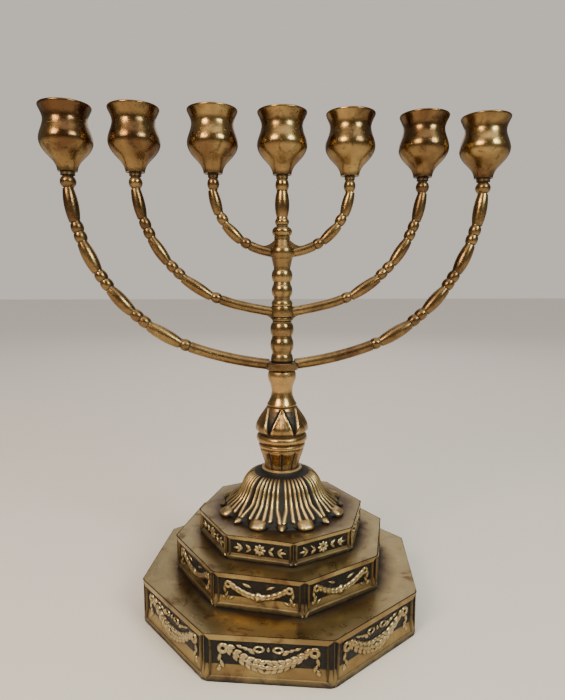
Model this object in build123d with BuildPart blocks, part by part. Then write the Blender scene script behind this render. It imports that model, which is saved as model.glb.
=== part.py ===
from build123d import *
import os
from math import cos, degrees, pi, radians, sin, tan

os.makedirs("parts", exist_ok=True)

# A seven-branched brass menorah, in millimetres.  The three pairs of branches lie along X, the
# stem stands on Z, and the origin is the middle of the underside.  Every piece is strung on one
# threaded tie rod, which a nut under the lowest tier draws tight.

# ---------------------------------------------------------------- base: three octagonal tiers
lower_across_flats = 185.0
middle_across_flats = 141.0
upper_across_flats = 110.0
lower_height = 30.4
middle_height = 23.7
upper_height = 16.5
lower_turn = -9.7        # degrees that each tier is turned about the rod, seen from above
middle_turn = -16.8
upper_turn = -20.1
tier_wall = 4.0
tier_deck = 3.2
corner_round = 2.6
top_edge_round = 0.9
panel_side_margin = 5.0
lower_panel_rail = 3.9   # plain brass above and below a panel
middle_panel_rail = 3.4
upper_panel_rail = 2.5
panel_corner = 1.8
panel_depth = 1.6

# ---------------------------------------------------------------- tie rod and its fastening
rod_radius = 3.0
rod_tail = 3.0           # bare thread below the nut
rod_chamfer = 0.6
rod_engagement = 8.0     # thread inside the top stem
nut_across_flats = 10.0
nut_height = 5.0
washer_radius = 9.0
washer_thickness = 1.6
rod_clearance = 0.15     # pieces that only hang on the rod
turning_clearance = 0.08  # branch hubs, which turn on the rod
hub_gap = 0.1            # left above and below each turning hub

# ---------------------------------------------------------------- leaf bell
bell_foot_radius = 44.6
bell_flare_radius = 36.0
bell_waist_radius = 29.4
bell_shoulder_radius = 26.6
bell_crown_radius = 21.6
bell_lip_wall = 1.7      # brass left round the baluster's foot
bell_rim = 2.2           # height of the vertical outer rim
bell_flare_height = 7.6
bell_waist_rise = 6.8
bell_shoulder_rise = 5.6
bell_crown_rise = 6.0
bell_throat_rise = 2.2
bell_lip_height = 2.2
bell_lip_round = 0.4
bell_wall = 3.0
bell_seat_depth = 1.5    # the baluster stands this deep inside the lip
seat_clearance = 0.1

# ---------------------------------------------------------------- baluster
baluster_foot_radius = 12.0
bowl_height = 15.4
bowl_top_radius = 15.8
lower_ring_height = 4.5
lower_ring_radius = 16.6
middle_ring_height = 6.0
middle_ring_radius = 18.0
upper_ring_height = 4.0
pear_groove_height = 1.6  # dark groove under the pear
upper_ring_radius = 18.3
ring_groove = 1.0        # depth of the grooves between the rings
pear_height = 13.6
pear_top_radius = 11.1
skirt_height = 11.0
skirt_radius = 10.5
neck_radius = 7.4
bulge_height = 15.6
bulge_crest = 10.6        # height of the bulge's widest place above the neck
bulge_radius = 9.9
baluster_top_radius = 8.6

# ---------------------------------------------------------------- bead columns between the hubs
lower_bead_height = 8.5
upper_bead_height = 8.0
lower_bead_radius = 8.2
upper_bead_radius = 7.2
lower_neck_radius = 6.8  # in the grooves between the beads
upper_neck_radius = 5.7
bead_edge_step = 0.4     # how far a bead's ends stand out past its grooves
column_groove = 2.2      # height of the grooves under the beads
lower_top_groove = 1.3   # and of the one under the next hub
upper_top_groove = 2.0
lower_ring_foot = 7.8    # radius of the ring at the foot of each column
upper_ring_foot = 7.3
lower_ring_rise = 5.8    # and its height
upper_ring_rise = 4.6
column_count = 2         # beads above the ring of each column
groove_height = 0.9      # between the mouldings of the top stem

# ---------------------------------------------------------------- branch hubs
outer_hub_height = 5.2
outer_hub_radius = 11.6
middle_collar_height = 7.0
middle_collar_radius = 8.0
middle_gusset_height = 3.4
middle_gusset_radius = 6.7
inner_cup_height = 5.5
inner_cup_foot_radius = 5.9
inner_cup_radius = 7.1
inner_bulb_height = 8.8
inner_bulb_radius = 8.7
inner_cone_height = 4.1
inner_cone_radius = 5.2
hub_round = 0.5
hub_ring_groove = 0.6
inner_bulb_edge = 1.7    # how far the bulb's ends fall back from its crest
outer_bar_lift = 1.1     # how far a bar's axis leaves its hub above the hub's middle
middle_bar_lift = -0.4
inner_bar_lift = -0.3
outer_bar_sink = 2.4     # how far a bar runs into its hub
gusset_reach = 6.0
gusset_thickness = 5.0
gusset_sink = 1.5        # how far a gusset runs into the hub and the bar
gusset_edge = 0.6

# ---------------------------------------------------------------- branches
stem_to_inner = 46.4     # between the axes of neighbouring cups
inner_to_middle = 51.1
middle_to_outer = 43.5
outer_upright = 0.6      # least straight length at the top of each branch, over the arc
middle_upright = 0.4
inner_upright = 5.0
least_bar = 4.0          # least length of the bar beside a hub
outer_hub_slope = 6.0    # degrees at which a bar climbs as it leaves its hub
middle_hub_slope = 8.0
inner_hub_slope = 9.0
outer_bar_slope = 18.5   # and at which it runs into the main arc of the branch
middle_bar_slope = 14.0
inner_bar_slope = 12.0
outer_first_knuckle = 23.2
middle_first_knuckle = 23.6
inner_first_knuckle = 30.8
last_knuckle = 89.4      # slope in degrees at which the bead under a cup would stand
outer_knuckles = 4
middle_knuckles = 3
inner_knuckles = 2
outer_bar_radius = 3.8
middle_bar_radius = 3.4
inner_bar_radius = 3.3
core_waist = 0.6         # how much thinner the branch is between its mouldings than the bar
knuckle_swell = 0.45     # how far the rings of the knuckles stand out past the bar
ring_shoulder = 0.6      # how far a ring's ends fall back from its crest
outer_barrel_swell = 0.9
middle_barrel_swell = 0.7
inner_barrel_swell = 0.6
barrel_end = 0.25        # how far a barrel's ends stand out past the core
first_ring_length = 5.0  # the single ring at the end of each bar
ring_length = 5.7        # each ring of the other knuckles
ring_split = 0.8         # groove between two rings, and between a bar and its ring
neck_length = 1.0        # bare core beside each knuckle
outer_rings = 2          # rings in a knuckle of each branch
middle_rings = 2
inner_rings = 1
top_bead_height = 6.9
top_bead_gap = 0.7
branch_neck_height = 2.4
outer_bead_radius = 5.2
middle_bead_radius = 4.5
inner_bead_radius = 4.0
stem_top_bead_radius = 4.6
bead_neck_step = 0.5     # how much narrower the neck over each of those beads is

# ---------------------------------------------------------------- top stem
stem_foot_radius = 5.4
stem_foot_height = 2.0
stem_bead_height = 6.7
stem_bead_radius = 6.8
stem_bead_edge = 2.0     # how far the bead's ends fall back from its crest
stem_ring_height = 4.5
stem_ring_radius = 4.8
stem_ring_groove = 0.9
spindle_height = 17.1
spindle_radius = 4.9
spindle_end_radius = 3.7

# ---------------------------------------------------------------- candle cups
socket_radius = 11.2     # takes a 22 mm candle
cup_wall = 2.8           # at the waist, round the socket
cup_foot_radius = 6.3
cup_base_swell = 1.8     # how far the base stands out past the foot
cup_flank_step = 3.7     # how far the flank falls back from the belly
cup_belly_swell = 3.0    # how far belly, shoulder and lip stand out past the waist
cup_shoulder_swell = 0.9
cup_lip_swell = 2.3
cup_base_height = 5.3
base_to_flank = 5.9
flank_to_belly = 7.6
belly_to_shoulder = 8.5
shoulder_to_waist = 4.3
waist_to_lip = 7.2
lip_to_rim = 2.7
cup_lip_round = 1.4
socket_depth = 25.0
socket_mouth = 1.3       # countersink at the mouth of the socket
socket_point = 3.0       # drill point under the socket
stud_radius = 2.0
stud_in_cup = 6.0
stud_in_branch = 8.0

# ---------------------------------------------------------------- sizes that follow from those
bell_waist_height = bell_flare_height + bell_waist_rise
bell_shoulder_height = bell_waist_height + bell_shoulder_rise
bell_crown_height = bell_shoulder_height + bell_crown_rise
bell_height = bell_crown_height + bell_throat_rise + bell_lip_height
bell_lip_radius = baluster_foot_radius + seat_clearance + bell_lip_wall
inner_reach = stem_to_inner
middle_reach = inner_reach + inner_to_middle
outer_reach = middle_reach + middle_to_outer
cup_flank_height = cup_base_height + base_to_flank
cup_belly_height = cup_flank_height + flank_to_belly
cup_shoulder_height = cup_belly_height + belly_to_shoulder
cup_waist_height = cup_shoulder_height + shoulder_to_waist
cup_lip_height = cup_waist_height + waist_to_lip
cup_height = cup_lip_height + lip_to_rim
cup_waist_radius = socket_radius + cup_wall
cup_belly_radius = cup_waist_radius + cup_belly_swell
cup_lip_radius = cup_waist_radius + cup_lip_swell
middle_foot = lower_height
upper_foot = middle_foot + middle_height
bell_foot = upper_foot + upper_height
baluster_foot = bell_foot + bell_height - bell_seat_depth
baluster_height = (
    bowl_height + lower_ring_height + middle_ring_height + pear_groove_height
    + upper_ring_height + pear_height + skirt_height + bulge_height
)
outer_hub_foot = baluster_foot + baluster_height + hub_gap
lower_column_foot = outer_hub_foot + outer_hub_height + hub_gap
lower_column_height = (
    lower_ring_rise + column_count * (column_groove + lower_bead_height) + lower_top_groove
)
upper_column_height = (
    upper_ring_rise + column_count * (column_groove + upper_bead_height) + upper_top_groove
)
middle_hub_foot = lower_column_foot + lower_column_height + hub_gap
middle_hub_height = middle_gusset_height + middle_collar_height
upper_column_foot = middle_hub_foot + middle_hub_height + hub_gap
inner_hub_foot = upper_column_foot + upper_column_height + hub_gap
inner_hub_height = inner_cup_height + inner_bulb_height + inner_cone_height
stem_foot = inner_hub_foot + inner_hub_height + hub_gap
stem_bead = stem_foot + stem_foot_height
stem_ring = stem_bead + stem_bead_height + groove_height
stem_spindle = stem_ring + stem_ring_height + groove_height
top_bead = stem_spindle + spindle_height + groove_height
branch_neck = top_bead + top_bead_height + top_bead_gap
cup_foot_height = branch_neck + branch_neck_height
nut_top = lower_height - tier_deck - washer_thickness


def save(solid, label):
    solid.label = label
    export_step(solid, "parts/" + label + ".step")


# ---------------------------------------------------------------- base tiers
def base_tier(across_flats, height, foot, turn, rail):
    """Octagonal box casting: open below, decked above, a sunk panel on each of its sides."""
    apothem = across_flats / 2
    side = across_flats * (2 ** 0.5 - 1)
    with BuildPart() as tier:
        with BuildSketch(Plane.XY.offset(foot)):
            RegularPolygon(apothem, 8, major_radius=False, rotation=22.5 + turn)
        extrude(amount=height)
        fillet(tier.edges().filter_by(Axis.Z), corner_round)
        fillet(tier.faces().sort_by(Axis.Z)[-1].edges(), top_edge_round)
        with BuildSketch(Plane.XY.offset(foot)):
            RegularPolygon(apothem - tier_wall, 8, major_radius=False, rotation=22.5 + turn)
        extrude(amount=height - tier_deck, mode=Mode.SUBTRACT)
        with BuildSketch(Plane.XY.offset(foot)):
            Circle(rod_radius + rod_clearance)
        extrude(amount=height, mode=Mode.SUBTRACT)
        for number in range(8):
            angle = radians(turn + 45 * number)
            outward = Vector(cos(angle), sin(angle), 0)
            along = Vector(-sin(angle), cos(angle), 0)
            middle = outward * apothem + Vector(0, 0, foot + height / 2)
            with BuildSketch(Plane(origin=middle, x_dir=along, z_dir=outward)):
                RectangleRounded(side - 2 * panel_side_margin, height - 2 * rail, panel_corner)
            extrude(amount=-panel_depth, mode=Mode.SUBTRACT)
    return tier.part


save(base_tier(lower_across_flats, lower_height, 0, lower_turn, lower_panel_rail),
     "base_tier_lower")
save(base_tier(middle_across_flats, middle_height, middle_foot, middle_turn, middle_panel_rail),
     "base_tier_middle")
save(base_tier(upper_across_flats, upper_height, upper_foot, upper_turn, upper_panel_rail),
     "base_tier_upper")


# ---------------------------------------------------------------- leaf bell
def bell_outline(inset):
    """Bell curve from its foot up to its crown, moved inwards and downwards by inset."""
    crown = bell_foot + bell_height - bell_lip_height
    side = inset * 0.7   # drop where the bell slopes, and shift where it is nearly flat
    return Spline(
        (bell_foot_radius - inset, bell_foot + bell_rim - side / 2),
        (bell_flare_radius - side, bell_foot + bell_flare_height - side),
        (bell_waist_radius - inset, bell_foot + bell_waist_height - side / 2),
        (bell_shoulder_radius - inset, bell_foot + bell_shoulder_height - side / 2),
        (bell_crown_radius - side, bell_foot + bell_crown_height - side),
        (bell_lip_radius, crown - inset),
        tangents=[(-0.5, 1), (-1, 0.3)],
    )


with BuildPart() as leaf_bell:
    with BuildSketch(Plane.XZ):
        with BuildLine():
            outside = bell_outline(0)
            inside = bell_outline(bell_wall)
            lip = bell_foot + bell_height
            Line(outside @ 0, (bell_foot_radius, bell_foot))
            Line((bell_foot_radius, bell_foot), ((inside @ 0).X, bell_foot))
            Line(((inside @ 0).X, bell_foot), inside @ 0)
            Polyline(outside @ 1, (bell_lip_radius, lip),
                     (rod_radius + rod_clearance, lip),
                     (rod_radius + rod_clearance, (inside @ 1).Y), inside @ 1)
        make_face()
    revolve(axis=Axis.Z)
    with BuildSketch(Plane.XY.offset(baluster_foot)):
        Circle(baluster_foot_radius + seat_clearance)
    extrude(amount=bell_seat_depth, mode=Mode.SUBTRACT)
    fillet(leaf_bell.edges().filter_by(GeomType.CIRCLE).group_by(Axis.Z)[-1], bell_lip_round)
save(leaf_bell.part, "leaf_bell")


# ---------------------------------------------------------------- baluster
def bulge(foot, height, end_radius, crest_radius):
    """Arc of one bead or ring, from its foot upwards."""
    return ThreePointArc((end_radius, foot), (crest_radius, foot + height / 2),
                         (end_radius, foot + height))


def baluster_outline():
    lower_ring = baluster_foot + bowl_height
    middle_ring = lower_ring + lower_ring_height
    upper_ring = middle_ring + middle_ring_height + pear_groove_height
    pear = upper_ring + upper_ring_height
    skirt = pear + pear_height
    knob = skirt + skirt_height
    spigot = baluster_foot + bell_seat_depth + seat_clearance
    Line((baluster_foot_radius, baluster_foot), (baluster_foot_radius, spigot))
    Spline((baluster_foot_radius, spigot), (bowl_top_radius, lower_ring),
           tangents=[(0.35, 1), (0, 1)])
    last = (bowl_top_radius, lower_ring)
    for foot, height, crest in (
        (lower_ring, lower_ring_height, lower_ring_radius),
        (middle_ring, middle_ring_height, middle_ring_radius),
        (upper_ring, upper_ring_height, upper_ring_radius),
    ):
        Line(last, (crest - ring_groove, foot))
        bulge(foot, height, crest - ring_groove, crest)
        last = (crest - ring_groove, foot + height)
    Spline(last, (pear_top_radius, skirt), tangents=[(0, 1), (-0.35, 1)])
    Line((pear_top_radius, skirt), (skirt_radius, skirt))
    Spline((skirt_radius, skirt), (neck_radius, knob), tangents=[(-0.1, 1), (0, 1)])
    Spline((neck_radius, knob), (bulge_radius, knob + bulge_crest),
           (baluster_top_radius, knob + bulge_height),
           tangents=[(0, 1), (-0.8, 1)])


with BuildPart() as baluster:
    with BuildSketch(Plane.XZ):
        bore = rod_radius + rod_clearance
        top = baluster_foot + baluster_height
        with BuildLine():
            baluster_outline()
            Polyline((baluster_top_radius, top), (bore, top), (bore, baluster_foot),
                     (baluster_foot_radius, baluster_foot))
        make_face()
    revolve(axis=Axis.Z)
save(baluster.part, "baluster")


# ---------------------------------------------------------------- bead columns
def bead_column(foot, height, ring, bead, neck_radius):
    """Turned spacer: a conical ring at its foot and beads above it, each given as
    its radius and its height."""
    bore = rod_radius + rod_clearance
    with BuildPart() as column:
        with BuildSketch(Plane.XZ):
            with BuildLine():
                ring_radius, ring_rise = ring
                bead_radius, bead_height = bead
                ThreePointArc((ring_radius - bead_edge_step, foot),
                              (ring_radius, foot + ring_rise / 3),
                              (neck_radius, foot + ring_rise))
                last = (neck_radius, foot + ring_rise)
                edge = neck_radius + bead_edge_step
                for number in range(column_count):
                    start = foot + ring_rise + column_groove
                    start = start + number * (bead_height + column_groove)
                    Polyline(last, (neck_radius, start), (edge, start))
                    bulge(start, bead_height, edge, bead_radius)
                    last = (edge, start + bead_height)
                Polyline(last, (neck_radius, last[1]), (neck_radius, foot + height),
                         (bore, foot + height), (bore, foot),
                         (ring_radius - bead_edge_step, foot))
            make_face()
        revolve(axis=Axis.Z)
    return column.part


save(bead_column(lower_column_foot, lower_column_height, (lower_ring_foot, lower_ring_rise),
                 (lower_bead_radius, lower_bead_height), lower_neck_radius),
     "lower_bead_column")
save(bead_column(upper_column_foot, upper_column_height, (upper_ring_foot, upper_ring_rise),
                 (upper_bead_radius, upper_bead_height), upper_neck_radius),
     "upper_bead_column")


# ---------------------------------------------------------------- branches
class Branch:
    """Centre line and thickness of the right-hand branch of a pair.

    A gently bent bar climbs out of the hub at hub_slope, and runs into the main arc where
    both climb at bar_slope.  The main arc ends upright under the neck, at the height that
    all the cups share.  A bar too short for that keeps its least length, and a straight
    upright end takes up the rest.
    """

    def __init__(self, reach, upright, slopes, start, first_knuckle, knuckles, sizes):
        self.bar_radius, barrel_swell, self.rings, self.bead_radius = sizes
        self.core_radius = self.bar_radius - core_waist
        self.ring_radius = self.bar_radius + knuckle_swell
        self.barrel_radius = self.bar_radius + barrel_swell
        self.reach = reach
        self.start = start
        self.slopes = slopes
        low, high = radians(slopes[0]), radians(slopes[1])
        run = reach - start[0]
        climb = branch_neck - upright - start[1]
        bar_run = sin(high) - sin(low)
        bar_climb = cos(low) - cos(high)
        arc_run = 1 - sin(high)
        arc_climb = cos(high)
        scale = bar_run * arc_climb - arc_run * bar_climb
        by_height = (run * arc_climb - climb * arc_run) / scale
        self.bar_bend = max(by_height, least_bar / (high - low))
        self.radius = (run - self.bar_bend * bar_run) / arc_run
        self.bar_centre = (start[0] - self.bar_bend * sin(low),
                           start[1] + self.bar_bend * cos(low))
        join = self.bar_centre[1] - self.bar_bend * cos(high)
        self.centre = (reach - self.radius, join + self.radius * cos(high))
        pitch = (last_knuckle - first_knuckle) / knuckles
        self.knuckles = [first_knuckle + pitch * number for number in range(knuckles)]

    def length_to(self, slope):
        """Length along the main arc from its lowest point up to this slope, in degrees."""
        return radians(slope) * self.radius

    def plane(self, length):
        """Plane at that length: its X runs along the branch, its Z across the pair."""
        angle = min(length / self.radius, pi / 2)
        beyond = length - angle * self.radius
        point = (self.centre[0] + self.radius * sin(angle), 0,
                 self.centre[1] - self.radius * cos(angle) + beyond)
        return Plane(origin=point, x_dir=(cos(angle), 0, sin(angle)), z_dir=(0, -1, 0))


def axis_of(plane):
    return Axis(plane.origin, plane.x_dir)


def turned_swelling(plane, length, end_radius, crest_radius):
    """Ring or barrel about the branch: an arc from end to end, widest in its middle."""
    half = length / 2
    with BuildSketch(plane) as profile:
        with BuildLine():
            Line((-half, 0), (-half, end_radius))
            ThreePointArc((-half, end_radius), (0, crest_radius), (half, end_radius))
            Polyline((half, end_radius), (half, 0), (-half, 0))
        make_face()
    revolve(profile.sketch, axis=axis_of(plane))


def knuckle(route, middle, rings, length):
    """Rings side by side on the branch, about the point at this length along it."""
    pitch = length + ring_split
    for number in range(rings):
        place = middle + (number - (rings - 1) / 2) * pitch
        turned_swelling(route.plane(place), length, route.ring_radius - ring_shoulder,
                        route.ring_radius)


def barrel(route, low, high):
    """Long swelling of the branch between these two lengths along it."""
    turned_swelling(route.plane((low + high) / 2), high - low,
                    route.core_radius + barrel_end, route.barrel_radius)


def branch_end(route):
    """Bead and neck that a cup stands on, about the upright end of a branch."""
    upright = Plane(origin=(route.reach, 0, 0), x_dir=(1, 0, 0), z_dir=(0, -1, 0))
    neck = route.bead_radius - bead_neck_step
    end = route.core_radius + barrel_end
    with BuildSketch(upright) as profile:
        with BuildLine():
            Line((0, top_bead), (end, top_bead))
            bulge(top_bead, top_bead_height, end, route.bead_radius)
            Polyline((end, top_bead + top_bead_height), (end, branch_neck),
                     (neck, branch_neck), (neck, cup_foot_height), (0, cup_foot_height),
                     (0, top_bead))
        make_face()
    revolve(profile.sketch, axis=Axis((route.reach, 0, 0), (0, 0, 1)))


def branch(route):
    """One branch, from inside its hub to the neck under its cup."""
    low, high = route.slopes
    first = route.length_to(route.knuckles[0])
    bar_end = first - first_ring_length / 2 - ring_split
    end_slope = degrees(bar_end / route.radius)
    with BuildLine(Plane.XZ) as bar_line:
        CenterArc(route.bar_centre, route.bar_bend, low - 90, high - low)
        CenterArc(route.centre, route.radius, high - 90, end_slope - high)
    lean = radians(low)
    with BuildSketch(Plane(origin=(route.start[0], 0, route.start[1]), x_dir=(0, 1, 0),
                           z_dir=(cos(lean), 0, sin(lean)))) as bar:
        Circle(route.bar_radius)
    sweep(bar.sketch, path=bar_line.wire())
    core_start = degrees((bar_end - ring_length) / route.radius)
    with BuildLine(Plane.XZ) as core_line:
        arc = CenterArc(route.centre, route.radius, core_start - 90, 90 - core_start)
        Line(arc @ 1, (route.reach, branch_neck))
    place = route.plane(radians(core_start) * route.radius)
    with BuildSketch(Plane(origin=place.origin, x_dir=(0, 1, 0), z_dir=place.x_dir)) as core:
        Circle(route.core_radius)
    sweep(core.sketch, path=core_line.wire())
    knuckle(route, first, 1, first_ring_length)
    last = first + first_ring_length / 2
    half = (route.rings * ring_length + (route.rings - 1) * ring_split) / 2
    for slope in route.knuckles[1:]:
        middle = route.length_to(slope)
        knuckle(route, middle, route.rings, ring_length)
        barrel(route, last + neck_length, middle - half - neck_length)
        last = middle + half
    top = route.length_to(90) + top_bead - route.centre[1]
    barrel(route, last + neck_length, top - neck_length / 2)
    branch_end(route)


def gusset(side, underside, reach_out):
    """Web that fills the corner between a hub and one of its branches."""
    corner = (side[0], underside[1])
    with BuildSketch(Plane.XZ) as profile:
        with BuildLine():
            middle = ((side[0] * 2 + underside[0]) / 3, (side[1] + underside[1] * 2) / 3)
            ThreePointArc(side, middle, underside)
            Polyline(underside, (underside[0], underside[1] + reach_out),
                     (corner[0] - abs(reach_out), underside[1] + reach_out),
                     (corner[0] - abs(reach_out), side[1]), side)
        make_face()
    extrude(profile.sketch, amount=gusset_thickness / 2, both=True)


def branch_pair(route, outline, hub_foot, hub_height, web=None):
    """Both branches of a pair and the hub between them, cast in one and bored for the rod."""
    bore = rod_radius + turning_clearance
    top = hub_foot + hub_height
    with BuildPart() as pair:
        branch(route)
        if web:
            gusset(*web)
        mirror(about=Plane.YZ)
        with BuildSketch(Plane.XZ):
            with BuildLine():
                low, high = outline()
                Polyline((high, top), (0, top), (0, hub_foot), (low, hub_foot))
            make_face()
        revolve(axis=Axis.Z)
        with BuildSketch(Plane.XY.offset(hub_foot)):
            Circle(bore)
        extrude(amount=hub_height, mode=Mode.SUBTRACT)
        with BuildSketch(Plane.XY.offset(cup_foot_height)):
            with Locations((route.reach, 0), (-route.reach, 0)):
                Circle(stud_radius)
        extrude(amount=-stud_in_branch, mode=Mode.SUBTRACT)
    return pair.part


def outer_hub_outline():
    top = outer_hub_foot + outer_hub_height
    Polyline((outer_hub_radius - hub_round, outer_hub_foot),
             (outer_hub_radius, outer_hub_foot + hub_round),
             (outer_hub_radius, top - hub_round), (outer_hub_radius - hub_round, top))
    return outer_hub_radius - hub_round, outer_hub_radius - hub_round


def middle_hub_outline():
    collar = middle_hub_foot + middle_gusset_height
    low = middle_gusset_radius - hub_ring_groove
    bulge(middle_hub_foot, middle_gusset_height, low, middle_gusset_radius)
    Line((low, collar), (middle_collar_radius - hub_round, collar))
    bulge(collar, middle_collar_height, middle_collar_radius - hub_round,
          middle_collar_radius)
    return low, middle_collar_radius - hub_round


def inner_hub_outline():
    bulb = inner_hub_foot + inner_cup_height
    cone = bulb + inner_bulb_height
    low = inner_bulb_radius - inner_bulb_edge
    Polyline((inner_cup_foot_radius, inner_hub_foot), (inner_cup_radius, bulb), (low, bulb))
    bulge(bulb, inner_bulb_height, low, inner_bulb_radius)
    Line((low, cone), (inner_cone_radius, cone + inner_cone_height))
    return inner_cup_foot_radius, inner_cone_radius


outer_start = (
    outer_hub_radius - outer_bar_sink,
    outer_hub_foot + outer_hub_height / 2 + outer_bar_lift,
)
middle_start = (
    middle_collar_radius - middle_bar_radius,
    middle_hub_foot + middle_gusset_height + middle_collar_height / 2 + middle_bar_lift,
)
inner_start = (
    inner_bulb_radius - inner_bar_radius,
    inner_hub_foot + inner_cup_height + inner_bulb_height / 2 + inner_bar_lift,
)
outer_route = Branch(outer_reach, outer_upright, (outer_hub_slope, outer_bar_slope),
                     outer_start, outer_first_knuckle, outer_knuckles,
                     (outer_bar_radius, outer_barrel_swell, outer_rings, outer_bead_radius))
middle_route = Branch(middle_reach, middle_upright, (middle_hub_slope, middle_bar_slope),
                      middle_start, middle_first_knuckle, middle_knuckles,
                      (middle_bar_radius, middle_barrel_swell, middle_rings,
                       middle_bead_radius))
inner_route = Branch(inner_reach, inner_upright, (inner_hub_slope, inner_bar_slope),
                     inner_start, inner_first_knuckle, inner_knuckles,
                     (inner_bar_radius, inner_barrel_swell, inner_rings, inner_bead_radius))
middle_web = (
    (middle_gusset_radius, middle_hub_foot + gusset_edge),
    (middle_collar_radius + gusset_reach,
     middle_start[1] - middle_bar_radius + gusset_reach * tan(radians(middle_bar_slope))),
    gusset_sink,
)
inner_web = (
    (inner_cone_radius + gusset_edge, inner_hub_foot + inner_hub_height - gusset_edge),
    (inner_bulb_radius + gusset_reach,
     inner_start[1] + inner_bar_radius + gusset_reach * tan(radians(inner_bar_slope))),
    -gusset_sink,
)
save(branch_pair(outer_route, outer_hub_outline, outer_hub_foot, outer_hub_height),
     "outer_branch_pair")
save(branch_pair(middle_route, middle_hub_outline, middle_hub_foot, middle_hub_height,
                 middle_web), "middle_branch_pair")
save(branch_pair(inner_route, inner_hub_outline, inner_hub_foot, inner_hub_height,
                 inner_web), "inner_branch_pair")


# ---------------------------------------------------------------- top stem
with BuildPart() as top_stem:
    bead_edge = stem_bead_radius - stem_bead_edge
    waist = stem_ring_radius - stem_ring_groove
    neck = stem_top_bead_radius - bead_neck_step
    with BuildSketch(Plane.XZ):
        with BuildLine():
            Polyline((stem_foot_radius, stem_foot), (stem_foot_radius, stem_bead),
                     (bead_edge, stem_bead))
            bulge(stem_bead, stem_bead_height, bead_edge, stem_bead_radius)
            Polyline((bead_edge, stem_bead + stem_bead_height),
                     (waist, stem_ring - groove_height), (waist, stem_ring))
            bulge(stem_ring, stem_ring_height, waist, stem_ring_radius)
            Polyline((waist, stem_ring + stem_ring_height),
                     (spindle_end_radius, stem_spindle))
            bulge(stem_spindle, spindle_height, spindle_end_radius, spindle_radius)
            Line((spindle_end_radius, stem_spindle + spindle_height),
                 (spindle_end_radius, top_bead))
            bulge(top_bead, top_bead_height, spindle_end_radius, stem_top_bead_radius)
            Polyline((spindle_end_radius, top_bead + top_bead_height),
                     (spindle_end_radius, branch_neck), (neck, branch_neck),
                     (neck, cup_foot_height), (0, cup_foot_height),
                     (0, stem_foot), (stem_foot_radius, stem_foot))
        make_face()
    revolve(axis=Axis.Z)
    with BuildSketch(Plane.XY.offset(stem_foot)):
        Circle(rod_radius)
    extrude(amount=rod_engagement, mode=Mode.SUBTRACT)
    with BuildSketch(Plane.XY.offset(cup_foot_height)):
        Circle(stud_radius)
    extrude(amount=-stud_in_branch, mode=Mode.SUBTRACT)
save(top_stem.part, "top_stem")


# ---------------------------------------------------------------- candle cups
def candle_cup(reach):
    """Turned tulip cup with a straight candle socket and a threaded hole in its foot."""
    foot = cup_foot_height
    rim = foot + cup_height
    with BuildPart() as cup:
        with BuildSketch(Plane.XZ.move(Location((reach, 0, 0)))):
            with BuildLine():
                Line((0, foot), (cup_foot_radius, foot))
                Spline((cup_foot_radius, foot),
                       (cup_foot_radius + cup_base_swell, foot + cup_base_height),
                       (cup_belly_radius - cup_flank_step, foot + cup_flank_height),
                       (cup_belly_radius, foot + cup_belly_height),
                       (cup_waist_radius + cup_shoulder_swell, foot + cup_shoulder_height),
                       (cup_waist_radius, foot + cup_waist_height),
                       (cup_lip_radius, foot + cup_lip_height),
                       (cup_lip_radius - cup_lip_round, rim),
                       tangents=[(0.1, 1), (-1, 0.1)])
                Polyline((cup_lip_radius - cup_lip_round, rim),
                         (socket_radius + socket_mouth, rim),
                         (socket_radius, rim - socket_mouth),
                         (socket_radius, rim - socket_depth),
                         (0, rim - socket_depth - socket_point), (0, foot))
            make_face()
        revolve(axis=Axis((reach, 0, 0), (0, 0, 1)))
        with BuildSketch(Plane.XY.offset(foot)):
            with Locations((reach, 0)):
                Circle(stud_radius)
        extrude(amount=stud_in_cup, mode=Mode.SUBTRACT)
    return cup.part


cup_places = {
    "outer_left_cup": -outer_reach, "middle_left_cup": -middle_reach,
    "inner_left_cup": -inner_reach, "centre_cup": 0.0,
    "inner_right_cup": inner_reach, "middle_right_cup": middle_reach,
    "outer_right_cup": outer_reach,
}
for name, reach in cup_places.items():
    save(candle_cup(reach), name)


# ---------------------------------------------------------------- studs under the cups
def cup_studs(*places):
    with BuildPart() as studs:
        with BuildSketch(Plane.XY.offset(cup_foot_height - stud_in_branch)):
            with Locations(*[(place, 0) for place in places]):
                Circle(stud_radius)
        extrude(amount=stud_in_branch + stud_in_cup)
    return studs.part


save(cup_studs(-outer_reach, outer_reach), "outer_cup_studs")
save(cup_studs(-middle_reach, middle_reach), "middle_cup_studs")
save(cup_studs(-inner_reach, inner_reach), "inner_cup_studs")
save(cup_studs(0), "centre_cup_stud")


# ---------------------------------------------------------------- tie rod, nut and washer
with BuildPart() as tie_rod:
    tail = nut_top - nut_height - rod_tail
    with BuildSketch(Plane.XY.offset(tail)):
        Circle(rod_radius)
    extrude(amount=stem_foot + rod_engagement - tail)
    chamfer(tie_rod.edges().group_by(Axis.Z)[0], rod_chamfer)
save(tie_rod.part, "tie_rod")

with BuildPart() as tie_rod_nut:
    with BuildSketch(Plane.XY.offset(nut_top - nut_height)):
        RegularPolygon(nut_across_flats / 2, 6, major_radius=False)
        Circle(rod_radius, mode=Mode.SUBTRACT)
    extrude(amount=nut_height)
save(tie_rod_nut.part, "tie_rod_nut")

with BuildPart() as tie_rod_washer:
    with BuildSketch(Plane.XY.offset(nut_top)):
        Circle(washer_radius)
        Circle(rod_radius + rod_clearance, mode=Mode.SUBTRACT)
    extrude(amount=washer_thickness)
save(tie_rod_washer.part, "tie_rod_washer")
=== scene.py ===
import math

import bpy
from mathutils import Matrix, Vector


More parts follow.
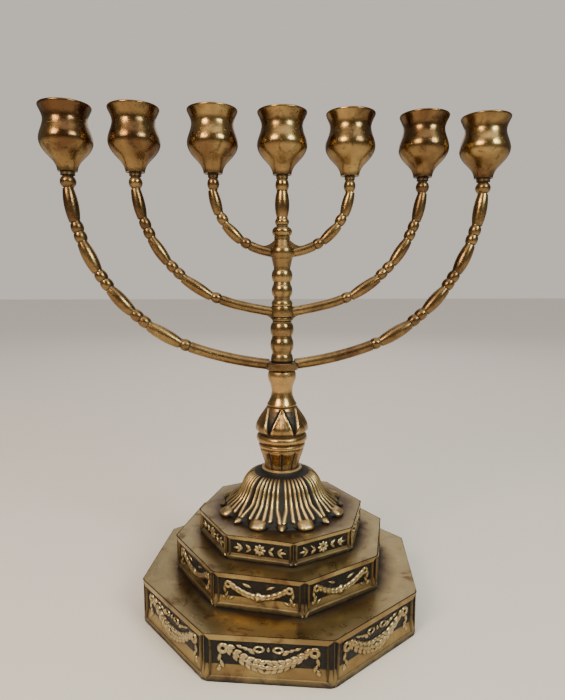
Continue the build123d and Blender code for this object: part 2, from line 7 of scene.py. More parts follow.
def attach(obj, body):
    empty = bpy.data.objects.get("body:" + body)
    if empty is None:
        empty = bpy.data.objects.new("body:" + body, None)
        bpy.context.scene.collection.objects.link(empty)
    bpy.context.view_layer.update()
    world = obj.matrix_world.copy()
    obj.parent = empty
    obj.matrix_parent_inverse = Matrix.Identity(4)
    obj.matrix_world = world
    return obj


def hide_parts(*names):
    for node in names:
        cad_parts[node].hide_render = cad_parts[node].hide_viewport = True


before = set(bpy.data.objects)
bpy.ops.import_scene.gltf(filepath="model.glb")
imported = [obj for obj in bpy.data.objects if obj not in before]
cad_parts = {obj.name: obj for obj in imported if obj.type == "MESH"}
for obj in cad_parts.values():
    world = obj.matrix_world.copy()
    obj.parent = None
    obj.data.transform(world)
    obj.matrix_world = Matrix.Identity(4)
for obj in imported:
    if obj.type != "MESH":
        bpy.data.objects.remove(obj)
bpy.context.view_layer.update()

scene = bpy.context.scene
bpy.ops.object.select_all(action="DESELECT")
mm = 0.001


# ------------------------------------------------------------------ tie rod, nut and washer
# A steel rod runs up through the whole stem.  The nut and washer under the lowest tier are
# plain zinc-plated hardware that has gone dull.
class Paint:
    """A node material that is built up one node at a time."""

    def __init__(self, name):
        self.material = bpy.data.materials.new(name)
        self.material.use_nodes = True
        self.tree = self.material.node_tree
        self.tree.nodes.clear()
        self.place = self.add("TexCoord").outputs["Object"]

    def add(self, kind, inputs=None, **settings):
        made = self.tree.nodes.new("ShaderNode" + kind)
        for setting, value in settings.items():
            setattr(made, setting, value)
        for name, value in (inputs or {}).items():
            if isinstance(value, bpy.types.NodeSocket):
                self.tree.links.new(value, made.inputs[name])
            else:
                made.inputs[name].default_value = value
        return made

    def noise(self, scale, detail=3.0, roughness=0.5, distortion=0.0, vector=None):
        return self.add("TexNoise", {
            "Vector": vector or self.place, "Scale": scale, "Detail": detail,
            "Roughness": roughness, "Distortion": distortion,
        }).outputs["Fac"]

    def span(self, value, low, high, to_low=0.0, to_high=1.0):
        """value, taken from low..high to to_low..to_high and held there outside."""
        return self.add("MapRange", {
            "Value": value, "From Min": low, "From Max": high,
            "To Min": to_low, "To Max": to_high,
        }).outputs["Result"]

    def math(self, operation, first, second=0.0):
        return self.add("Math", {0: first, 1: second}, operation=operation).outputs[0]

    def mix(self, share, first, second):
        made = self.add("Mix", data_type="RGBA")
        for socket, value in ((0, share), (6, first), (7, second)):
            if isinstance(value, bpy.types.NodeSocket):
                self.tree.links.new(value, made.inputs[socket])
            else:
                made.inputs[socket].default_value = value
        return made.outputs[2]

    def around(self, ring_scale, turn_scale):
        """Coordinates that run round the stem: distance from it, and angle about it."""
        split = self.add("SeparateXYZ", {0: self.place})
        flat = self.add("CombineXYZ", {0: split.outputs[0], 1: split.outputs[1]}).outputs[0]
        far = self.add("VectorMath", {0: flat}, operation="LENGTH").outputs["Value"]
        angle = self.math("ARCTAN2", split.outputs[1], split.outputs[0])
        return self.add("CombineXYZ", {
            0: self.math("MULTIPLY", far, ring_scale),
            1: self.math("MULTIPLY", angle, turn_scale),
            2: self.math("MULTIPLY", split.outputs[2], ring_scale),
        }).outputs[0]

    def bump(self, height, distance, strength=1.0, normal=None):
        inputs = {"Height": height, "Distance": distance, "Strength": strength}
        if normal:
            inputs["Normal"] = normal
        return self.add("Bump", inputs).outputs["Normal"]

    def finish(self, **inputs):
        shader = self.add("BsdfPrincipled", {
            name.replace("_", " "): value for name, value in inputs.items()
        })
        output = self.add("OutputMaterial")
        self.tree.links.new(shader.outputs["BSDF"], output.inputs["Surface"])
        return self.material


def coat_node(name, material):
    """Gives a carried-over piece its finish."""
    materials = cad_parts[name].data.materials
    materials.clear()
    materials.append(material)


def zinc_steel():
    paint = Paint("zinc_steel")
    cloud = paint.noise(180.0, 5.0)
    grain = paint.noise(2600.0, 2.0)
    return paint.finish(
        Base_Color=paint.mix(cloud, (0.30, 0.29, 0.27, 1), (0.46, 0.45, 0.42, 1)),
        Metallic=1.0,
        Roughness=paint.span(cloud, 0.3, 0.7, 0.34, 0.5),
        Normal=paint.bump(grain, 0.00004),
    )


hardware_steel = zinc_steel()
for piece in ("tie_rod", "tie_rod_nut", "tie_rod_washer", "centre_cup_stud",
              "outer_cup_studs", "middle_cup_studs", "inner_cup_studs"):
    coat_node(piece, hardware_steel)


# ------------------------------------------------------------------ cups, branches and turnings
# Old brass with a brown tarnish that has been rubbed off wherever hands and cloths reach, so
# that crests are golden, hollows nearly black, and the casting's pits show as dark dots. The
# black in the hollows is partly grime and partly painted shade from an ambient occlusion mask.
def aged_brass(name, gold, brown, tarnish, pitting, gloss, hollow=0.0035, carved=False,
               brushed=0.0):
    """Tarnished brass.  carved reads the piece's own relief attribute, 0 in its hollows and
    1 on its crests.  brushed is the depth of turning marks round the stem."""
    paint = Paint(name)
    drift = paint.span(paint.noise(30.0, 4.0, 0.55, 0.4), 0.36, 0.64)
    cloud = paint.noise(110.0, 7.0, 0.62, 0.6)
    blotch = paint.span(cloud, 0.52, 0.68, 0.0, tarnish)
    specks = paint.noise(650.0, 3.0, 0.6)
    where = paint.span(paint.noise(75.0, 2.0), 0.42, 0.62)
    pits = paint.span(specks, 0.63, 0.70, 0.0, pitting)
    pits = paint.math("MULTIPLY", pits, where)
    # painted shade: ambient occlusion darkens hollows and places crowded by other parts, mixed
    # with the grime that gathers there
    shelter = paint.add("AmbientOcclusion", {"Distance": hollow}, samples=8).outputs["AO"]
    grime_and_painted_shade = paint.span(shelter, 0.42, 0.95, 1.0, 0.0)
    grime_and_painted_shade = paint.math("MULTIPLY", grime_and_painted_shade, paint.span(cloud, 0.25, 0.6, 0.8, 1.3))
    dark = paint.math("MAXIMUM", grime_and_painted_shade, pits)
    metal = paint.mix(drift, gold, brown)
    if carved:
        relief = paint.add("Attribute", attribute_name="relief").outputs["Fac"]
        relief = paint.math("ADD", relief, paint.span(cloud, 0.3, 0.7, -0.12, 0.12))
        hollows = paint.span(relief, 0.30, 0.58, 1.0, 0.0)
        dark = paint.math("MAXIMUM", paint.math("MULTIPLY", dark, 0.75), hollows)
        crest = paint.span(relief, 0.62, 0.95)
        metal = paint.mix(crest, metal, tuple(min(1.0, part * 1.5) for part in gold[:3]) + (1,))
    metal = paint.mix(blotch, metal, (0.060, 0.034, 0.016, 1))
    metal = paint.mix(dark, metal, (0.008, 0.006, 0.005, 1))
    rough = paint.span(cloud, 0.3, 0.7, gloss, gloss + 0.16)
    rough = paint.math("ADD", rough, paint.math("MULTIPLY", dark, 0.3))
    skin = paint.noise(330.0, 5.0, 0.6)
    height = paint.math("SUBTRACT", skin, paint.math("MULTIPLY", pits, 0.9))
    normal = paint.bump(height, 0.00016, 0.6)
    if brushed:
        marks = paint.noise(1.0, 4.0, 0.7, 0.0, paint.around(1500.0, 2.0))
        normal = paint.bump(marks, brushed, 1.0, normal)
    return paint.finish(
        Base_Color=metal,
        Metallic=paint.span(dark, 0.0, 1.0, 1.0, 0.35),
        Roughness=rough,
        Normal=normal,
    )


cup_brass = aged_brass("cup_brass", (0.36, 0.235, 0.09, 1), (0.13, 0.065, 0.028, 1),
                       0.85, 1.0, 0.16, 0.005)
branch_brass = aged_brass("branch_brass", (0.31, 0.20, 0.08, 1), (0.13, 0.07, 0.032, 1),
                          0.65, 0.8, 0.2, 0.006)
stem_brass = aged_brass("stem_brass", (0.44, 0.30, 0.12, 1), (0.18, 0.10, 0.042, 1),
                        0.6, 0.9, 0.17, 0.006)
for side in ("left", "right"):
    for ring in ("outer", "middle", "inner"):
        coat_node(f"{ring}_{side}_cup", cup_brass)
coat_node("centre_cup", cup_brass)
for piece in ("outer_branch_pair", "middle_branch_pair", "inner_branch_pair"):
    coat_node(piece, branch_brass)
for piece in ("top_stem", "lower_bead_column", "upper_bead_column"):
    coat_node(piece, stem_brass)


# ------------------------------------------------------------------ octagonal tiers
# Three hollow cast brass boxes stacked on the rod, each turned a little on the one below.
# Every side has a sunk panel, blackened, inside a rubbed bright frame; the decks are brushed.
def pick_faces(piece, wanted):
    """Opens the piece in edit mode with just the faces where wanted(middle, normal)."""
    bpy.context.view_layer.objects.active = piece
    bpy.ops.object.mode_set(mode="EDIT")
    bpy.ops.mesh.select_all(action="DESELECT")
    bpy.ops.object.mode_set(mode="OBJECT")
    for face in piece.data.polygons:
        face.select = wanted(face.center, face.normal)
    bpy.ops.object.mode_set(mode="EDIT")
    bpy.ops.mesh.select_mode(type="FACE")


def pick_edges(piece, wanted):
    """Opens the piece in edit mode with just the edges where wanted(one end, other end)."""
    bpy.context.view_layer.objects.active = piece
    bpy.ops.object.mode_set(mode="EDIT")
    bpy.ops.mesh.select_all(action="DESELECT")
    bpy.ops.mesh.select_mode(type="EDGE")
    bpy.ops.object.mode_set(mode="OBJECT")
    ends = piece.data.vertices
    for edge in piece.data.edges:
        edge.select = wanted(*(ends[index].co for index in edge.vertices))
    bpy.ops.object.mode_set(mode="EDIT")


def set_down(piece, name, material, smooth=30.0):
    """Names, smooths and coats the piece and puts it on the stand.  With no material given
    the piece keeps the ones it has."""
    bpy.ops.object.mode_set(mode="OBJECT")
    bpy.ops.object.transform_apply(location=True, rotation=True, scale=True)
    piece.name = name
    piece.data.name = name
    if material:
        piece.data.materials.clear()
        piece.data.materials.append(material)
    bpy.ops.object.shade_smooth_by_angle(angle=math.radians(smooth))
    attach(piece, "stand")
    piece.select_set(False)


def panel_black():
    """The blackened floor of a panel, grainy and a little shiny."""
    paint = Paint("panel_black")
    cloud = paint.noise(220.0, 5.0, 0.65)
    lumps = paint.noise(420.0, 3.0, 0.6)
    return paint.finish(
        Base_Color=paint.mix(paint.span(cloud, 0.55, 0.75), (0.006, 0.005, 0.0045, 1),
                             (0.055, 0.038, 0.022, 1)),
        Metallic=0.4,
        Roughness=paint.span(cloud, 0.3, 0.7, 0.34, 0.6),
        Normal=paint.bump(lumps, 0.0006, 0.9),
    )


def tier_metal(name, foot_ring):
    """Brushed, stained deck and rubbed frames, told apart by which way the metal faces, with grime
    and painted shade in the corners and a painted shadow ring round the next piece's foot.
    foot_ring is how far out the next piece's foot reaches."""
    paint = Paint(name)
    cloud = paint.noise(90.0, 6.0, 0.6, 0.5)
    broad = paint.noise(28.0, 4.0, 0.6, 0.8)
    fine = paint.noise(900.0, 3.0, 0.6)
    brushed = paint.noise(1.0, 5.0, 0.75, 0.0, paint.around(1300.0, 2.5))
    facing = paint.add("SeparateXYZ", {0: paint.add("TexCoord").outputs["Normal"]}).outputs[2]
    split = paint.add("SeparateXYZ", {0: paint.place})
    flat = paint.add("CombineXYZ", {0: split.outputs[0], 1: split.outputs[1]}).outputs[0]
    far = paint.add("VectorMath", {0: flat}, operation="LENGTH").outputs["Value"]
    up = paint.span(facing, 0.80, 0.95)
    # painted shade: ambient occlusion darkens the corners, the sunk panels' edges and the deck
    # under the pieces above, together with grime
    shelter = paint.add("AmbientOcclusion", {"Distance": 0.007}, samples=8).outputs["AO"]
    grime_and_painted_shade = paint.math("MULTIPLY", paint.span(shelter, 0.55, 0.97, 1.0, 0.0),
                       paint.span(cloud, 0.3, 0.65, 0.7, 1.35))
    # painted shadow: a dark ring on the deck round the foot of the piece that stands on it
    painted_foot_shadow = paint.span(paint.math("ADD", far, paint.span(broad, 0.3, 0.7, -0.004, 0.004)),
                      foot_ring, foot_ring + 0.012, 1.0, 0.0)
    painted_foot_shadow = paint.math("MULTIPLY", painted_foot_shadow, up)
    metal = paint.mix(paint.span(broad, 0.38, 0.62), (0.40, 0.29, 0.12, 1), (0.25, 0.165, 0.07, 1))
    metal = paint.mix(paint.math("MULTIPLY", up, paint.span(brushed, 0.3, 0.7, 0.35, 0.75)),
                      metal, (0.40, 0.32, 0.165, 1))
    stain = paint.span(cloud, 0.56, 0.66, 0.0, 0.75)
    metal = paint.mix(stain, metal, (0.16, 0.075, 0.035, 1))
    metal = paint.mix(painted_foot_shadow, metal, (0.085, 0.045, 0.022, 1))
    dark = paint.math("MULTIPLY", grime_and_painted_shade, paint.span(up, 0.0, 1.0, 1.0, 0.85))
    metal = paint.mix(dark, metal, (0.010, 0.008, 0.007, 1))
    rough = paint.span(cloud, 0.3, 0.7, 0.24, 0.42)
    rough = paint.math("ADD", rough, paint.math("MULTIPLY", dark, 0.25))
    height = paint.mix(up, fine, brushed)
    return paint.finish(
        Base_Color=metal,
        Metallic=paint.span(dark, 0.0, 1.0, 1.0, 0.3),
        Roughness=rough,
        Normal=paint.bump(height, 0.00008, 0.7),
    )


def octagonal_tier(node, name, across, turn, foot, deck, rails, depth, next_foot):
    """rails are the heights of the frame below and above the panel."""
    tall = deck - foot
    corner = across / 2 / math.cos(math.pi / 8)
    bpy.ops.mesh.primitive_cylinder_add(
        vertices=8, radius=corner, depth=tall, location=(0, 0, (foot + deck) / 2),
        rotation=(0, 0, math.radians(turn + 22.5)),
    )
    piece = bpy.context.object
    bpy.ops.object.transform_apply(location=True, rotation=True, scale=True)
    # the underside is pushed up to the deck, with walls that lean in towards it
    pick_faces(piece, lambda middle, normal: normal.z < -0.9)
    bpy.ops.mesh.inset(thickness=4 * mm, depth=0)
    bpy.ops.transform.translate(value=(0, 0, tall - 3.2 * mm))
    # a thin border runs round the deck
    pick_faces(piece, lambda middle, normal: normal.z > 0.9 and middle.z > deck - mm)
    bpy.ops.mesh.inset(thickness=0.45 * mm, depth=0)
    # each side gets its sunk panel, sloping in at its edges in two steps
    side = across / 2 - 1 * mm
    pick_faces(piece, lambda middle, normal: abs(normal.z) < 0.1
               and middle.xy.length > side and normal.xy.dot(middle.xy) > 0)
    bpy.ops.mesh.inset(thickness=rails[0], depth=0, use_individual=True)
    low, high = foot + rails[0], deck - rails[0]
    raised = deck - rails[1]
    if abs(raised - high) > 0.01 * mm:
        pick_edges(piece, lambda one, two: abs(one.z - high) < 0.05 * mm
                   and abs(two.z - high) < 0.05 * mm and one.xy.length > side)
        bpy.ops.transform.translate(value=(0, 0, raised - high))
    pick_faces(piece, lambda middle, normal: abs(normal.z) < 0.1
               and middle.xy.length > side and abs(middle.z - (low + raised) / 2) < mm
               and normal.xy.dot(middle.xy) > 0)
    bpy.ops.mesh.inset(thickness=0.5 * mm, depth=-depth * 0.5, use_individual=True)
    bpy.ops.mesh.inset(thickness=0.4 * mm, depth=-depth * 0.5, use_individual=True)
    bpy.ops.object.mode_set(mode="OBJECT")
    piece.data.materials.append(tier_metal(name + "_metal", next_foot))
    piece.data.materials.append(blackened)
    for face in piece.data.polygons:
        if face.select:
            face.material_index = 1
    # the eight upright corners are worn broad, the rims only a little
    pick_edges(piece, lambda one, two: abs(one.z - two.z) > tall * 0.8
               and one.xy.length > corner - 0.2 * mm and two.xy.length > corner - 0.2 * mm)
    bpy.ops.mesh.bevel(offset=2.2 * mm, segments=4, affect="EDGES")
    pick_edges(piece, lambda one, two: abs(one.z - two.z) < 0.1 * mm
               and min(one.xy.length, two.xy.length) > side
               and (min(one.z, two.z) > deck - 0.1 * mm or max(one.z, two.z) < foot + 0.1 * mm))
    bpy.ops.mesh.bevel(offset=0.5 * mm, segments=3, affect="EDGES")
    set_down(piece, name, None)
    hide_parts(node)


blackened = panel_black()
# node, piece, width across flats, turn, foot, deck, frame below and above the panel, depth of
# the panel, and how far out the foot of what stands on it reaches
tiers = (
    ("base_tier_lower", "lower_tier", 185, -9.7, 0.0, 30.4, (3.9, 3.6), 1.6, 72.0),
    ("base_tier_middle", "middle_tier", 141, -16.8, 30.4, 54.1, (3.4, 3.0), 1.6, 55.0),
    ("base_tier_upper", "upper_tier", 110, -20.1, 54.1, 70.6, (2.5, 2.3), 1.3, 46.0),
)
for node, name, across, turn, foot, deck, rails, depth, next_foot in tiers:
    octagonal_tier(node, name, across * mm, turn, foot * mm, deck * mm,
                   tuple(rail * mm for rail in rails), depth * mm, next_foot * mm)


# ------------------------------------------------------------------ raised work in the panels
# Cast leaves standing on the blackened floor of every panel: a laurel festoon hung from
# rosettes on the lowest tier, a thin garland on the middle one, flower sprays on the highest.
def leaf(x, z, turn, long, wide, thick=1.1):
    """One pointed leaf, its middle at x, z of the panel and its tip towards turn."""
    bpy.ops.mesh.primitive_uv_sphere_add(segments=10, ring_count=7, radius=1.0,
                                         rotation=(0, math.pi / 2, 0))
    made = bpy.context.object
    bpy.ops.object.transform_apply(location=True, rotation=True, scale=True)
    for vertex in made.data.vertices:
        narrow = (1.0 - abs(vertex.co.x)) ** 0.35 if abs(vertex.co.x) < 1 else 0.0
        vertex.co.z *= narrow * (1.15 - 0.25 * vertex.co.x)
    made.scale = (long / 2 * mm, thick * mm, wide / 2 * mm)
    made.rotation_euler = (0, -math.radians(turn), 0)
    made.location = (x * mm, 0, z * mm)
    bpy.ops.object.transform_apply(location=True, rotation=True, scale=True)
    return made


def ring(x, z, radius, thick, squash=1.0):
    """A rosette's rim or a bow's loop, lying flat on the panel."""
    bpy.ops.mesh.primitive_torus_add(
        location=(x * mm, 0, z * mm), rotation=(math.pi / 2, 0, 0), major_segments=20,
        minor_segments=8, major_radius=radius * mm, minor_radius=thick * mm,
    )
    made = bpy.context.object
    made.scale = (1.0, squash, 1.0)
    bpy.ops.object.transform_apply(location=True, rotation=True, scale=True)
    return made


def festoon():
    """A full laurel festoon between two rosettes, with bows above and tails at its ends."""
    parts = []
    for step in range(-6, 7):
        t = step / 6.0
        x, z = 22.5 * t, -4.9 + 10.2 * t * t
        side = 1 if step >= 0 else -1
        slope = math.degrees(math.atan2(20.4 * abs(t), 22.5))
        fat = 1.0 - 0.5 * abs(t)
        for row in (-1, 0, 1):
            tip = (180 + slope if side > 0 else -slope) - side * row * 32
            wobble = 7 * math.sin(step * 2.3 + row)
            parts.append(leaf(x + 0.6 * row, z + row * 2.9 * fat, tip + wobble,
                              6.9 - 1.2 * abs(t), 3.3, 1.7 - 0.4 * abs(row)))
    for step in range(-5, 6):
        t = step / 5.0
        if abs(step) > 1:
            parts.append(leaf(17.0 * t, 4.2 + 3.2 * t * t, 22 if t > 0 else 158, 4.6, 1.9, 0.9))
    for side in (-1, 1):
        parts += [ring(side * 26.8, 5.8, 2.3, 1.35), ring(side * 5.6, 6.2, 2.6, 1.0, 0.62),
                  leaf(side * 10.2, 4.6, 90 - side * 55, 5.6, 2.3, 1.0),
                  leaf(side * 28.8, 0.4, 90 + side * 12, 6.4, 2.4),
                  leaf(side * 27.4, -4.0, 90 - side * 22, 6.0, 2.4),
                  leaf(side * 29.2, -7.0, 90 + side * 16, 5.0, 3.0)]
    parts.append(leaf(0, 6.2, 90, 3.2, 2.2, 1.2))
    return parts


def garland():
    """A thin garland with a disc flower at its middle, hung from two rosettes."""
    parts = []
    for step in range(-5, 6):
        t = step / 5.0
        if step:
            slope = math.degrees(math.atan2(11.6 * abs(t), 16.5))
            tip = 180 + slope if t > 0 else -slope
            for row in (-1, 1):
                parts.append(leaf(16.5 * t, -2.8 + 5.8 * t * t + row * 0.8,
                                  tip - (1 if t > 0 else -1) * row * 12, 6.4, 2.5, 1.3))
    parts.append(leaf(0, -2.9, 0, 7.2, 6.6, 2.0))
    for side in (-1, 1):
        parts += [ring(side * 19.4, 3.9, 1.7, 1.15),
                  leaf(side * 21.6, 0.4, 90 - side * 10, 5.4, 2.1),
                  leaf(side * 20.6, -3.0, 90 + side * 24, 4.8, 2.2),
                  leaf(side * 22.0, -5.2, 90 - side * 35, 3.8, 2.4),
                  leaf(side * 17.8, -5.0, 90 + side * 55, 4.6, 2.0),
                  leaf(side * 7.6, 4.2, 90 - side * 68, 6.2, 1.9, 0.8)]
    return parts


def sprays():
    """A flower in the middle and a pair of leafy sprays to each side of it."""
    parts = [ring(0, 0, 1.3, 0.85)]
    for petal in range(8):
        turn = petal * 45
        parts.append(leaf(2.5 * math.cos(math.radians(turn)),
                          2.5 * math.sin(math.radians(turn)), turn, 3.6, 2.5, 1.3))
    for side in (-1, 1):
        away = 0 if side > 0 else 180
        for far, spread, long in ((7.6, (-42, 42), 5.2), (13.4, (-44, 0, 44), 5.6)):
            for turn in spread:
                aim = away + turn
                parts.append(leaf(side * (far + 1.6 * (turn == 0)),
                                  1.9 * math.sin(math.radians(aim)), aim, long, 2.1, 1.2))
    return parts


relief_brass = aged_brass("relief_brass", (0.60, 0.48, 0.27, 1), (0.42, 0.30, 0.14, 1),
                          0.3, 0.4, 0.22, 0.0022)
panels = (("festoons", festoon), ("garlands", garland), ("flower_sprays", sprays))
seated = 0.05                       # how far the leaves' middles stand off the panel's floor
for (name, design), (_, _, across, turn, foot, deck, rails, depth, _) in zip(panels, tiers):
    height = (foot + rails[0] + deck - rails[1]) / 2
    parts = design()
    for part in parts:
        part.select_set(True)
    bpy.context.view_layer.objects.active = parts[0]
    bpy.ops.object.join()
    first = bpy.context.object
    copies = [first]
    for _ in range(7):
        other = first.copy()
        other.data = first.data.copy()
        scene.collection.objects.link(other)
        copies.append(other)
    for index, part in enumerate(copies):
        way = math.radians(turn + 45 * index)
        out = (across / 2 - depth + seated) * mm
        part.matrix_world = Matrix.Translation(
            (out * math.cos(way), out * math.sin(way), height * mm)
        ) @ Matrix.Rotation(way + math.pi / 2, 4, "Z")
        part.select_set(True)
    bpy.context.view_layer.objects.active = first
    bpy.ops.object.join()
    set_down(first, name, relief_brass, 50.0)


# ------------------------------------------------------------------ leaf bell
# A cast brass bell of acanthus leaves, held by the rod on the highest tier: eight broad
# leaves with curled feet and eight narrow buds between them, black in the valleys.
def carved_bell(profile, inside, around, foot_at, shape):
    """A closed turned wall whose outside is pushed in and out by shape(angle, height)."""
    rows = len(profile) + len(inside)
    bpy.ops.mesh.primitive_cylinder_add(vertices=around, radius=0.04, depth=0.03,
                                        end_fill_type="NOTHING", location=(0, 0, foot_at))
    piece = bpy.context.object
    bpy.ops.object.transform_apply(location=True, rotation=True, scale=True)
    pick_edges(piece, lambda one, two: abs(one.z - two.z) > 0.01)
    bpy.ops.mesh.subdivide(number_cuts=rows - 2, quadcorner="INNERVERT")
    bpy.ops.object.mode_set(mode="OBJECT")
    relief = piece.data.attributes.new("relief", "FLOAT", "POINT")
    low = min(vertex.co.z for vertex in piece.data.vertices)
    step = 0.03 / (rows - 1)
    for vertex in piece.data.vertices:
        row = round((vertex.co.z - low) / step)
        angle = math.atan2(vertex.co.y, vertex.co.x)
        if row < len(profile):
            radius, height = profile[row]
            out, lift, crest = shape(angle, height)
            radius, height = radius + out, height + lift
            relief.data[vertex.index].value = crest
        else:
            radius, height = inside[row - len(profile)]
        vertex.co = (radius * mm * math.cos(angle), radius * mm * math.sin(angle), height * mm)
    # the two ends of the wall meet along the foot
    bpy.ops.object.mode_set(mode="EDIT")
    bpy.ops.mesh.select_all(action="DESELECT")
    bpy.ops.mesh.select_mode(type="EDGE")
    bpy.ops.mesh.select_non_manifold()
    bpy.ops.mesh.bridge_edge_loops()
    bpy.ops.mesh.select_all(action="SELECT")
    bpy.ops.mesh.normals_make_consistent(inside=False)
    return piece


def through(points, spacing):
    """Points every spacing along a smooth line through the given ones."""
    ends = [points[0]] + list(points) + [points[-1]]
    line = []
    for one, two, three, four in zip(ends, ends[1:], ends[2:], ends[3:]):
        count = max(1, round(math.dist(two, three) / spacing))
        for index in range(count):
            t = index / count
            line.append(tuple(
                0.5 * (2 * b + (c - a) * t + (2 * a - 5 * b + 4 * c - d) * t * t
                       + (3 * b - a - 3 * c + d) * t ** 3)
                for a, b, c, d in zip(one, two, three, four)
            ))
    return line + [points[-1]]


def ease(value, low, high):
    t = min(1.0, max(0.0, (value - low) / (high - low)))
    return t * t * (3 - 2 * t)


front = math.radians(-94.9)
bell_outside = through([
    (42.6, 70.7), (43.9, 71.0), (44.3, 71.9), (43.4, 72.9), (40.0, 75.0), (36.0, 78.2),
    (32.0, 81.6), (29.6, 85.0), (28.2, 87.6), (27.0, 90.4), (25.4, 93.0), (22.8, 95.8),
    (20.2, 97.0), (18.6, 97.4), (16.6, 97.9), (15.0, 98.8), (14.2, 99.9), (14.2, 100.7),
    (13.7, 101.0), (12.2, 101.0),
], 0.42)
bell_inside = through([(12.0, 100.6), (12.0, 95.0), (22.0, 89.0), (25.6, 83.0),
                       (33.0, 76.6), (40.0, 72.6), (41.6, 70.7)], 4.0)


def acanthus(angle, height):
    """How far the leaves stand out at a place on the bell, and how rubbed it is there."""
    turn = math.degrees(angle - front) % 45.0
    if turn > 22.5:
        turn -= 45.0
    bud = abs(turn)                 # 0 on a bud, 22.5 on the middle of a broad leaf
    leaf = 22.5 - bud
    on_leaf = ease(height, 97.8, 96.6)
    foot = ease(height, 76.5, 72.0)
    if height > 97.3:
        lip = ease(height, 99.4, 100.2)
        return 0.0, 0.0, 0.15 + 0.75 * lip
    # three ribs run down each half of a broad leaf
    ribs = 0.0
    for at, wide in ((3.3, 1.9), (10.2, 2.0), (16.9, 2.1)):
        # towards the foot the outermost rib bends in to meet its neighbour over the bud
        bend = at + (3.2 if at > 16 else 0.6) * ease(height, 82.0, 75.4)
        ribs = max(ribs, math.exp(-((leaf - bend) / wide) ** 2))
    bud_tip = ease(height, 74.6, 73.2) * math.exp(-(bud / 3.2) ** 2)
    knob = ease(height, 76.4, 74.0) * math.exp(-(leaf / 7.5) ** 4)
    ribs *= 1.0 - 0.9 * ease(height, 75.2, 73.6)
    crest = max(ribs, bud_tip, knob)
    out = (1.5 * crest - 0.75) * on_leaf
    # the rim runs out and in between the feet of the leaves
    gap = 1.0 - max(math.exp(-(bud / 4.2) ** 2), math.exp(-(leaf / 9.5) ** 4))
    out -= 3.4 * foot * gap
    out += 1.0 * foot * knob
    lift = 0.9 * knob * ease(height, 71.2, 72.6)
    return out, lift, crest * on_leaf + 0.1 * (1 - on_leaf)


bell_brass = aged_brass("leaf_bell_brass", (0.47, 0.33, 0.14, 1), (0.33, 0.21, 0.09, 1),
                        0.3, 0.6, 0.24, 0.004, carved=True)
bell = carved_bell(bell_outside, bell_inside, 560, 0.085, acanthus)
set_down(bell, "acanthus_bell", bell_brass, 60.0)
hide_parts("leaf_bell")


# ------------------------------------------------------------------ baluster
# The cast piece over the bell: a fluted bowl, two plain rings, a pear wrapped in six pointed
# leaves, a flared skirt and a smooth swelling under the lowest branches.
baluster_outside = through([
    (10.2, 99.6), (11.6, 99.8), (12.1, 101.4), (12.6, 104.5), (14.0, 109.0), (15.9, 114.2),
], 0.4)[:-1] + through([
    (15.6, 114.7), (15.3, 115.2), (16.2, 115.8), (16.7, 117.0), (16.4, 118.5), (15.5, 119.3),
], 0.3)[:-1] + through([
    (15.7, 119.6), (17.4, 120.3), (18.1, 122.0), (17.8, 124.0), (16.6, 125.2), (15.0, 125.7),
], 0.3)[:-1] + through([
    (14.9, 126.5), (16.6, 126.9), (18.0, 128.0), (18.3, 129.6), (18.0, 132.0), (16.9, 134.6),
    (15.2, 137.6), (13.1, 141.0), (11.4, 144.0), (10.2, 144.6),
], 0.35)[:-1] + through([
    (9.2, 144.8), (10.0, 145.4), (10.6, 146.4), (9.6, 148.2), (8.2, 151.4), (7.4, 155.0),
    (7.4, 157.0), (8.2, 160.6), (9.5, 164.0), (10.0, 166.4), (9.6, 169.4), (8.8, 171.0),
    (7.6, 171.2), (3.6, 171.2),
], 0.45)
baluster_inside = [(3.4, 170.6), (3.4, 100.2), (4.2, 99.6)]


def pear_leaves(angle, height):
    """Flutes round the bowl and six pointed leaves round the pear."""
    turn = math.degrees(angle - front)
    if height < 114.4:
        flute = abs(math.sin(math.radians(turn * 5)))
        seam = math.exp(-(flute / 0.28) ** 2) * ease(height, 100.6, 103.0)
        fade = ease(height, 114.4, 112.8)
        return -0.8 * seam * fade, 0.0, 0.68 - 0.55 * seam * fade - 0.35 * ease(
            height, 104.0, 100.4)
    if height < 126.6 or height > 144.3:
        return 0.0, 0.0, 0.8
    from_leaf = abs((turn + 30.0) % 60.0 - 30.0)
    # a leaf is broad at the rim of the pear and runs up to a point at its top
    share = (height - 127.5) / 17.0
    half = 24.0 * (1.0 - max(0.0, share)) ** 0.75 + 2.0 * math.sin(share * math.pi)
    edge = math.exp(-((from_leaf - half) / 3.4) ** 2)
    outside = ease(from_leaf, half + 2.0, half + 6.0)
    line = math.exp(-((from_leaf - half - 4.6) / 2.0) ** 2)
    midrib = math.exp(-(from_leaf / 2.4) ** 2) * ease(share, 0.0, 0.12)
    within = ease(height, 126.7, 128.6)
    out = (0.55 * edge - 1.0 * line - 0.55 * outside + 0.2 * midrib) * within
    low_gap = outside * ease(share, 0.55, 0.1)
    out -= 0.9 * low_gap * within
    crest = 0.64 + 0.36 * edge - 0.55 * line - 0.28 * outside * (share < 0.9) \
        - 0.5 * low_gap - 0.14 * midrib
    return out, 0.0, crest


baluster_brass = aged_brass("baluster_brass", (0.40, 0.25, 0.10, 1), (0.20, 0.11, 0.045, 1),
                            0.5, 0.9, 0.18, 0.0045, carved=True)
baluster = carved_bell(baluster_outside, baluster_inside, 300, 0.135, pear_leaves)
set_down(baluster, "leaf_baluster", baluster_brass, 50.0)
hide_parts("baluster")


# ------------------------------------------------------------------ floor, light and camera
# A pale floor, two soft lamps in front, the left one warm and the right one cool, a weak one
# behind, and a wide soft sun from above that brightens the floor up to the background.
def pale_floor():
    paint = Paint("floor")
    return paint.finish(Base_Color=(0.74, 0.68, 0.615, 1), Roughness=0.7)


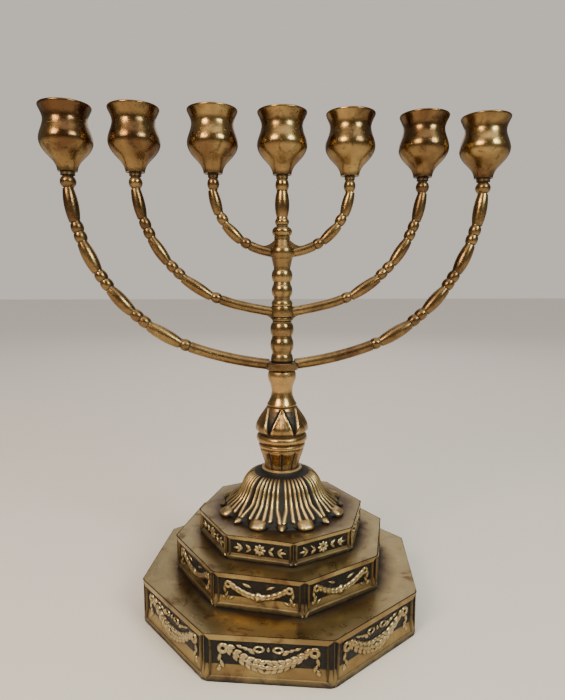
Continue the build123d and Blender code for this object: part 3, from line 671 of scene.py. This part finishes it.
bpy.ops.mesh.primitive_plane_add(size=12.0, location=(0, 0, 0))
floor = bpy.context.object
floor.name = "floor"
floor.data.materials.append(pale_floor())

world = bpy.data.worlds.new("room")
scene.world = world
world.use_nodes = True
tree = world.node_tree
tree.nodes.clear()


def room(kind, **values):
    made = tree.nodes.new("ShaderNode" + kind)
    for name, value in values.items():
        if isinstance(value, bpy.types.NodeSocket):
            tree.links.new(value, made.inputs[name])
        else:
            made.inputs[name].default_value = value
    return made


seen = room("Background", Color=(0.66, 0.60, 0.54, 1), Strength=1.0)
lit = room("Background", Color=(0.17, 0.158, 0.145, 1), Strength=1.0)
rays = room("LightPath")
both = room("MixShader")
tree.links.new(rays.outputs["Is Camera Ray"], both.inputs[0])
tree.links.new(lit.outputs[0], both.inputs[1])
tree.links.new(seen.outputs[0], both.inputs[2])
sky = room("OutputWorld")
tree.links.new(both.outputs[0], sky.inputs["Surface"])


def lamp(name, place, size, energy, colour, kind="AREA"):
    data = bpy.data.lights.new(name, kind)
    if kind == "SUN":
        data.angle = size
    else:
        data.size = size
    data.energy = energy
    data.color = colour
    made = bpy.data.objects.new(name, data)
    scene.collection.objects.link(made)
    made.location = place
    aim = Vector((0, 0, 0.18)) - Vector(place)
    made.rotation_euler = aim.to_track_quat("-Z", "Y").to_euler()


lamp("warm_lamp", (-0.75, -0.85, 0.95), 0.45, 14.0, (1.0, 0.80, 0.56))
lamp("cool_lamp", (0.62, -0.80, 0.85), 0.35, 9.0, (0.86, 1.0, 0.90))
lamp("back_lamp", (0.2, 1.3, 1.1), 1.2, 4.5, (1.0, 0.96, 0.92))
lamp("soft_sun", (0.1, -0.3, 2.0), 1.2, 1.75, (1.0, 0.97, 0.94), "SUN")

eye = bpy.data.cameras.new("camera")
camera = bpy.data.objects.new("camera", eye)
scene.collection.objects.link(camera)
scene.camera = camera
eye.lens = 28.36
eye.sensor_width = 36.0
eye.clip_start = 0.01
camera.location = (-0.0328, -0.3839, 0.2349)
camera.rotation_euler = (math.radians(90 - 7.39), math.radians(-0.07), math.radians(-4.93))
